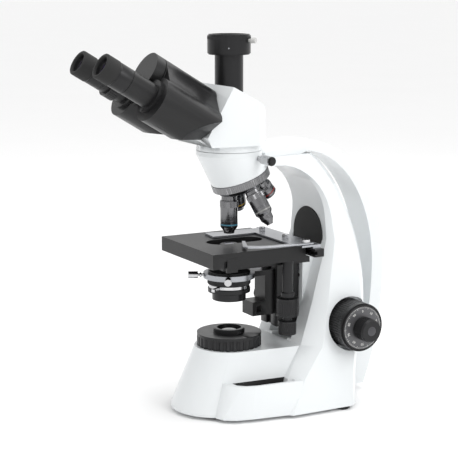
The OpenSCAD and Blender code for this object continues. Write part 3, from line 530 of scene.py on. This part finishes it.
def colour_setting(name, description, value):
    return bpy.props.FloatVectorProperty(name=name, description=description, default=value,
                                         subtype="COLOR", min=0, max=1)


class ScopeColours(bpy.types.PropertyGroup):
    enamel: colour_setting("Stand", "White enamel of the stand and head", (0.74, 0.765, 0.775))
    black: colour_setting("Eyepiece body", "Black enamel of the eyepiece body and stage drive",
                          (0.009, 0.009, 0.0095))
    stage: colour_setting("Stage", "Hard coat of the stage", (0.008, 0.008, 0.0085))
    plastic: colour_setting("Knobs", "Moulded knobs", (0.012, 0.012, 0.0125))
    anodised: colour_setting("Anodised", "Black anodised turned pieces", (0.016, 0.016, 0.017))
    chrome: colour_setting("Chrome", "Bright plated pieces", (0.50, 0.50, 0.51))
    objective: colour_setting("Objectives", "Plated objective barrels", (0.17, 0.17, 0.175))
    band: colour_setting("Band", "Coloured band of the working objective", (0.02, 0.16, 0.24))


# ---- One operator for each piece or group ----------------------------------
class SCOPE_OT_stand(bpy.types.Operator):
    """Builds the white castings of the stand"""
    bl_idname = "scope.stand"
    bl_label = "Stand"

    def execute(self, context):
        sizes = context.scene.scope_sizes

        def pocket_shade_paint(centre, normal):
            """Painted shade: the faces inside the two open pockets beside the base take the black finish,
            standing for the shade in these recesses.
            """
            at = (centre - Vector((0, SEAT.y, 0))) / MM
            near = (POCKET_Z[0] < at.z < POCKET_Z[1] and POCKET_X[0] < abs(at.x) < POCKET_X[1]
                    and POCKET_Y[0] < at.y < POCKET_Y[1])
            inward = normal.x * at.x < 0 or abs(at.x) < POCKET_BACK or normal.z > 0.5
            return 1 if near and inward else 0

        # painted shade: the black finish on the faces inside the base's side pockets stands for the shade in
        # these recesses
        finished_copy("base_casting", ["white enamel", "black plastic"], sizes.casting_edge, 34, 3,
                      pocket_shade_paint)
        finished_copy("arm_casting", "white enamel", sizes.casting_edge, 40, 3, sharp=44)
        finished_copy("carry_bow", "white enamel", sizes.bow_edge, 40, 4, sharp=50)
        finished_copy("nose_housing", "white enamel", 0.0010, 34, 3, sharp=36)
        finished_copy("front_panel", "white enamel", 0.0005)
        finished_copy("arch_cover", "rubber", 0.0006)
        return {"FINISHED"}


class SCOPE_OT_base(bpy.types.Operator):
    """Builds the base plate, feet, screws, inlet, switch and lamp"""
    bl_idname = "scope.base"
    bl_label = "Base fittings"

    def execute(self, context):
        edge = context.scene.scope_sizes.small_edge
        finished_copy("base_plate", "dark aluminium", 0.0002)
        finished_copy("rubber_feet", "rubber", 0.0004)
        finished_copy("cover_screws", "dark screw", 0.00012)
        finished_copy("guide_rail", "ground steel", edge)
        finished_copy("lamp_house", "dark aluminium", edge)
        finished_copy("led_module", "aluminium", 0.0002)
        finished_copy("collector_lens", "glass", 0)
        finished_copy("driver_board", "board", 0)
        finished_copy("power_inlet", "black plastic", 0.0003)
        finished_copy("power_rocker", "black plastic", 0.0005)
        finished_copy("shaft_bushes", "brass", edge)
        finished_copy("dimmer_knob", "knob plastic", 0.0002)
        return {"FINISHED"}


class SCOPE_OT_collector(bpy.types.Operator):
    """Builds the ribbed field collector ring and its lens"""
    bl_idname = "scope.collector"
    bl_label = "Field collector"

    def execute(self, context):
        finished_copy("field_ring", "black turned upright", 0.0004)
        finished_copy("field_lens", "lamp lens", 0)
        axis = Matrix.Translation((0, SEAT.y, 0))
        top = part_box("field_ring")[1].z / MM
        lip = [(13.7, top), (13.7, top + 0.5), (16.6, top + 0.5), (17.3, top - 0.1),
               (17.3, top - 0.4), (13.9, top - 0.4)]
        turned_piece("field_ring_lip", lip, axis, "black turned upright", "collector")
        deck = top - 4.8
        ring_of("field_ring_marks", 36, (22.5, deck + 0.06), axis, (3.2, 0.35, 0.14), "scale mark",
                "collector")
        return {"FINISHED"}


class SCOPE_OT_focus(bpy.types.Operator):
    """Builds the focus knobs, shafts and their numbered dial"""
    bl_idname = "scope.focus"
    bl_label = "Focus drive"

    def execute(self, context):
        finished_copy("coarse_knob_right", "knob plastic", 0.0003)
        finished_copy("coarse_knob_left", "knob plastic", 0.0003)
        finished_copy("coarse_shaft", "steel across", 0.0002)
        finished_copy("fine_shaft", "steel across", 0.0002)
        finished_copy("fine_knob_right", "black turned across", 0.0008)
        finished_copy("fine_knob_left", "black turned across", 0.0008)
        finished_copy("focus_dial", "dial", 0.0002)
        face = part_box("focus_dial")[1].x
        place = Matrix.Translation((face, FOCUS.y, FOCUS.z)) @ Matrix.Rotation(math.radians(90), 4, "Y")
        place = place @ Matrix.Rotation(math.radians(90), 4, "Z")
        low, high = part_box("focus_dial")
        r = (high.z - low.z) / 2 / MM
        for name, size, count, skip in (("dial_fine_marks", (1.3, 0.22, 0.16), 100, range(0, 100, 10)),
                                        ("dial_long_marks", (2.4, 0.34, 0.16), 10, ())):
            ring_of(name, count, (r - 0.6 - size[0] / 2, 0.04), place, size,
                    "dial mark", "coarse", skip)
        meshes = []
        for i in range(10):
            turn = Matrix.Rotation(math.radians(36 * i), 4, "Z")
            turn = turn @ Matrix.Translation((0, (r - 5.6) * MM, 0.02 * MM))
            meshes.append(numeral(f"dial_{i}", str((10 - i) % 10 * 10), 3.9, place @ turn))
        joined("dial_numbers", meshes, "dial mark", "coarse")
        for side, node in ((1, "fine_knob_right"), (-1, "fine_knob_left")):
            low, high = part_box(node)
            start = low.x if side > 0 else high.x
            at = Matrix.Translation((start, FOCUS.y, FOCUS.z))
            at = at @ Matrix.Rotation(math.radians(90 * side), 4, "Y")
            rad = (high.z - low.z) / 2 / MM
            knurl(f"{node}_knurl", rad - 0.1, 3.0, 14.5, 80, at,
                  "black turned across", "fine", 0.3)
            end = (high.x - low.x) / MM
            cap = [(0, end - 0.3), (0, end + 0.25), (4.6, end + 0.25), (5.2, end), (5.2, end - 0.3)]
            turned_piece(f"{node}_cap", cap, at, "dark screw", "fine", 64)
        return {"FINISHED"}


class SCOPE_OT_stage(bpy.types.Operator):
    """Builds the stage, its lift, the slide holder and the drive knobs"""
    bl_idname = "scope.stage"
    bl_label = "Stage"

    def execute(self, context):
        edge = context.scene.scope_sizes.small_edge
        finished_copy("stage_top", "stage coat", 0.0006)
        finished_copy("stage_base", "black enamel", edge)
        finished_copy("stage_carriage", "black enamel", 0.0006)
        finished_copy("focus_rack", "ground steel", 0.0001)
        finished_copy("drive_post", "black turned upright", edge)
        finished_copy("y_knob", "black turned upright", 0.0003)
        finished_copy("x_knob", "black turned upright", 0.0003)
        finished_copy("x_rail", "black turned across", edge)
        finished_copy("slide_holder", "bright steel", 0.0003)
        finished_copy("holder_screws", "chrome", 0.0002)
        finished_copy("spring_finger", "bright steel", 0.0003)
        low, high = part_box("x_rail")
        made = bmesh.new()
        for i in range(61):
            length = 4.2 if i % 10 == 0 else (3.2 if i % 5 == 0 else 2.2)
            block = bmesh.ops.create_cube(made, size=1.0)["verts"]
            at = Matrix.Translation((low.x + 0.010 + i * MM, high.y - (length / 2 + 0.3) * MM,
                                     high.z + 0.02 * MM))
            at = at @ Matrix.Diagonal((0.22 * MM, length * MM, 0.1 * MM, 1))
            bmesh.ops.transform(made, matrix=at, verts=block)
        close_piece(made, "rail_scale", "dial mark", "holder")
        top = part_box("holder_screws")[1].z / MM
        for i, (x, y) in enumerate(HOLDER_SCREWS):
            at = Matrix.Translation(axis_point(x, y, 0))
            knurl(f"holder_screw_knurl_{i}", 3.2, top - 5.2, top - 1.0, 26, at,
                  "chrome", "holder", 0.3)
        return {"FINISHED"}


class SCOPE_OT_condenser(bpy.types.Operator):
    """Builds the condenser with its iris, filter tray and screws"""
    bl_idname = "scope.condenser"
    bl_label = "Condenser"

    def execute(self, context):
        edge = context.scene.scope_sizes.small_edge
        fork_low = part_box("condenser_slide")[1].z / MM - FORK_DEPTH

        def slide_paint(centre, normal):
            return 1 if centre.z / MM > fork_low and centre.y < SEAT.y + 30 * MM else 0

        finished_copy("condenser_slide", ["black enamel", "bright steel"], edge, paint=slide_paint)
        finished_copy("condenser_barrel", "black turned upright", 0.0006)
        finished_copy("condenser_lens", "eye lens", 0.0004)
        finished_copy("iris_lever", "chrome", 0.0003)
        finished_copy("filter_tray", "black turned upright", 0.0005)
        finished_copy("centring_screws", "chrome", 0.0003)
        finished_copy("condenser_knob", "knob plastic", 0.0002)
        axis = Matrix.Translation((0, SEAT.y, 0))
        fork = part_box("condenser_slide")[1].z / MM - 6
        knurl("condenser_knurl", 24.0, fork - 6.6, fork - 0.6, 120, axis,
              "black turned upright", "condenser", 0.4)
        return {"FINISHED"}


class SCOPE_OT_turret(bpy.types.Operator):
    """Builds the turret and the four objectives"""
    bl_idname = "scope.turret"
    bl_label = "Turret and objectives"

    def execute(self, context):
        def turret_paint(centre, normal):
            along = (centre - joint_place("nosepiece_turn")).dot(TURRET_AXIS) / MM
            return 1 if along < TURRET_RIM else 0

        finished_copy("turret", ["chrome turret", "black turned turret"], 0.0003, paint=turret_paint)
        r = OBJECTIVE_R
        # node, place round the turret, bottom and top of the grip, height of the band, its finish
        for node, k, low, high, band, colour in (
                ("objective_40x", 0, -15.2, -8.2, -34.6, "blue band"),
                ("objective_100x", 1, -13.2, -7.2, -27.4, "pale band"),
                ("objective_4x", 2, -14.2, -10.2, -20.0, "red band"),
                ("objective_10x", 3, -14.2, -8.2, -24.4, "yellow band")):
            place = objective_place(k)

            def ring(tag, profile, finish):
                turned_piece(f"{node}_{tag}", profile, place, finish, "nosepiece")

            finished_copy(node, f"objective {k}", 0.0003)
            knurl(f"{node}_knurl", r + 0.05, low, high, 60, place, f"objective {k}", "nosepiece",
                  0.3)
            ring("band", [(r - 0.1, band - 0.8), (r + 0.12, band - 0.7), (r + 0.12, band + 0.7),
                          (r - 0.1, band + 0.8)], colour)
            for i, at in enumerate((band + 4.0, band + 5.2)):
                ring(f"line_{i}", [(r - 0.1, at - 0.2), (r + 0.04, at - 0.16),
                                   (r + 0.04, at + 0.16), (r - 0.1, at + 0.2)], f"objective dark {k}")
            ring("collar", [(r + 0.5, -1.9), (r + 0.72, -1.8), (r + 0.72, -0.3), (r + 0.5, -0.2)],
                 f"objective dark {k}")
        return {"FINISHED"}


class SCOPE_OT_head(bpy.types.Operator):
    """Builds the head, its camera tube, clamp ring and lock screw"""
    bl_idname = "scope.head"
    bl_label = "Head"

    def execute(self, context):
        finished_copy("head_housing", "white enamel", 0.0022, 30, 4, sharp=34)
        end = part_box("head_lock_screw")[1].x / MM - LOCK_KNOB_LENGTH
        finished_copy("head_lock_screw", ["chrome", "knob plastic"], 0.0003,
                      paint=lambda centre, normal: 1 if centre.x / MM > end else 0)
        finished_copy("beam_prism", "glass", 0.0003)
        finished_copy("photo_tube", "black turned upright", 0.0004)

        def clamp_paint(centre, normal):
            return 1 if math.hypot(centre.x, centre.y - SEAT.y) / MM > CLAMP_HANDLE_R else 0

        finished_copy("photo_clamp", ["black turned upright", "pale plastic"], 0.0005, paint=clamp_paint)
        made = bmesh.new()
        screw_head(made, EYES @ Matrix.Translation((23.3 * MM, -4.0 * MM, 3.4 * MM)), 1.1, 0.5)
        close_piece(made, "head_face_screw", "dark screw", "head")
        made = bmesh.new()
        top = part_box("photo_clamp")[1].z
        turn = math.radians(CLAMP_SCREW_TURN)
        outward = (math.cos(turn), math.sin(turn), 0)
        spot = (CLAMP_R * MM * outward[0], SEAT.y + CLAMP_R * MM * outward[1], top - 14.5 * MM)
        screw_head(made, facing(spot, outward), 0.8, 0.3)
        close_piece(made, "clamp_set_screw", "bright steel", "head")
        axis = Matrix.Translation((0, SEAT.y, 0))
        knurl("clamp_knurl", CLAMP_R, top / MM - 5.6, top / MM - 2.2, 130, axis,
              "black turned upright", "head", 0.25)
        return {"FINISHED"}


class SCOPE_OT_eyes(bpy.types.Operator):
    """Builds the two eyepiece halves, eyepieces and the diopter ring"""
    bl_idname = "scope.eyes"
    bl_label = "Eyepieces"

    def execute(self, context):
        finished_copy("binocular_right", "black enamel", 0.0016, 34, 3, sharp=36)
        finished_copy("binocular_left", "black enamel", 0.0016, 34, 3, sharp=36)
        finished_copy("eyepiece_right", "black turned eye", 0.0004)
        finished_copy("eyepiece_left", "black turned eye", 0.0004)
        finished_copy("diopter_ring", "black turned eye", 0.0003)
        for side, body in ((1, "ocular_right"), (-1, "ocular_left")):
            tag = "right" if side > 0 else "left"
            place = EYES @ Matrix.Translation((side * EYE_HALF_GAP * MM, -EYE_DROP * MM, 0))
            turned_piece(f"eye_lens_{tag}", EYE_LENS, place, "eye lens", body, 64)
            turned_piece(f"eye_cup_{tag}", EYE_CUP, place, "rubber", body)
        place = EYES @ Matrix.Translation((-EYE_HALF_GAP * MM, -EYE_DROP * MM, 0))
        ring_of("diopter_marks", 30, (17.0, 98.0), place, (0.16, 0.7, 0.7), "scale mark",
                "diopter", [i for i in range(30) if i not in (6, 7, 8)])
        return {"FINISHED"}


class SCOPE_OT_studio(bpy.types.Operator):
    """Builds the floor, the lights and the camera"""
    bl_idname = "scope.studio"
    bl_label = "Studio"

    def execute(self, context):
        sizes = context.scene.scope_sizes
        made = bmesh.new()
        bmesh.ops.create_grid(made, x_segments=4, y_segments=4, size=40.0)
        mesh = bpy.data.meshes.new("floor")
        made.to_mesh(mesh)
        made.free()
        floor = bpy.data.objects.new("floor", mesh)
        context.scene.collection.objects.link(floor)
        paper = Surface("studio_paper")
        soft = paper.noise(3.0, 2.0)
        mesh.materials.append(paper.finish(paper.mix(soft, (0.93, 0.93, 0.93), (0.95, 0.95, 0.95)), 0.9))
        context.scene.view_settings.view_transform = "Standard"
        world = bpy.data.worlds.new("studio")
        context.scene.world = world
        world.use_nodes = True
        world.node_tree.nodes["Background"].inputs[0].default_value = (1, 1, 1, 1)
        world.node_tree.nodes["Background"].inputs[1].default_value = 0.98
        for name, place, size, power in (("key_right", (1.5, 0.5, 1.3), 0.8, 9),
                                         ("top", (0.2, 0.2, 1.9), 1.0, 11),
                                         ("back", (-0.4, 1.5, 1.0), 1.0, 4)):
            lamp = bpy.data.lights.new(name, "AREA")
            lamp.size = size
            lamp.energy = power
            obj = bpy.data.objects.new(name, lamp)
            context.scene.collection.objects.link(obj)
            obj.location = place
            aim = Vector((0, 0, 0.2)) - Vector(place)
            obj.rotation_euler = aim.to_track_quat("-Z", "Y").to_euler()
        lens = bpy.data.cameras.new("camera")
        lens.sensor_width = 36
        lens.lens = sizes.focal
        lens.clip_end = 200
        camera = bpy.data.objects.new("camera", lens)
        context.scene.collection.objects.link(camera)
        a, p = sizes.azimuth, sizes.pitch
        camera.location = (sizes.distance * math.sin(a), SEAT.y - sizes.distance * math.cos(a), sizes.height)
        look = Vector((-math.sin(a) * math.cos(p), math.cos(a) * math.cos(p), -math.sin(p)))
        camera.rotation_euler = look.to_track_quat("-Z", "Y").to_euler()
        context.scene.camera = camera
        return {"FINISHED"}


class SCOPE_PT_panel(bpy.types.Panel):
    """Lists the pieces in the 3D view's sidebar"""
    bl_idname = "SCOPE_PT_panel"
    bl_label = "Microscope"
    bl_space_type = "VIEW_3D"
    bl_region_type = "UI"
    bl_category = "Microscope"

    def draw(self, context):
        for group in (context.scene.scope_sizes, context.scene.scope_colours):
            for key in group.__annotations__:
                self.layout.prop(group, key)
        for operator in OPERATORS:
            self.layout.operator(operator.bl_idname)


OPERATORS = (SCOPE_OT_stand, SCOPE_OT_base, SCOPE_OT_collector, SCOPE_OT_focus, SCOPE_OT_stage,
             SCOPE_OT_condenser, SCOPE_OT_turret, SCOPE_OT_head, SCOPE_OT_eyes, SCOPE_OT_studio)
CLASSES = (ScopeSizes, ScopeColours, *OPERATORS, SCOPE_PT_panel)


def register():
    for cls in CLASSES:
        bpy.utils.register_class(cls)
    bpy.types.Scene.scope_sizes = bpy.props.PointerProperty(type=ScopeSizes)
    bpy.types.Scene.scope_colours = bpy.props.PointerProperty(type=ScopeColours)


def unregister():
    del bpy.types.Scene.scope_colours
    del bpy.types.Scene.scope_sizes
    for cls in reversed(CLASSES):
        bpy.utils.unregister_class(cls)


def main():
    register()
    for name in ("stand", "base", "collector", "focus", "stage", "condenser", "turret", "head",
                 "eyes", "studio"):
        getattr(bpy.ops.scope, name)()


if __name__ == "__main__":
    main()
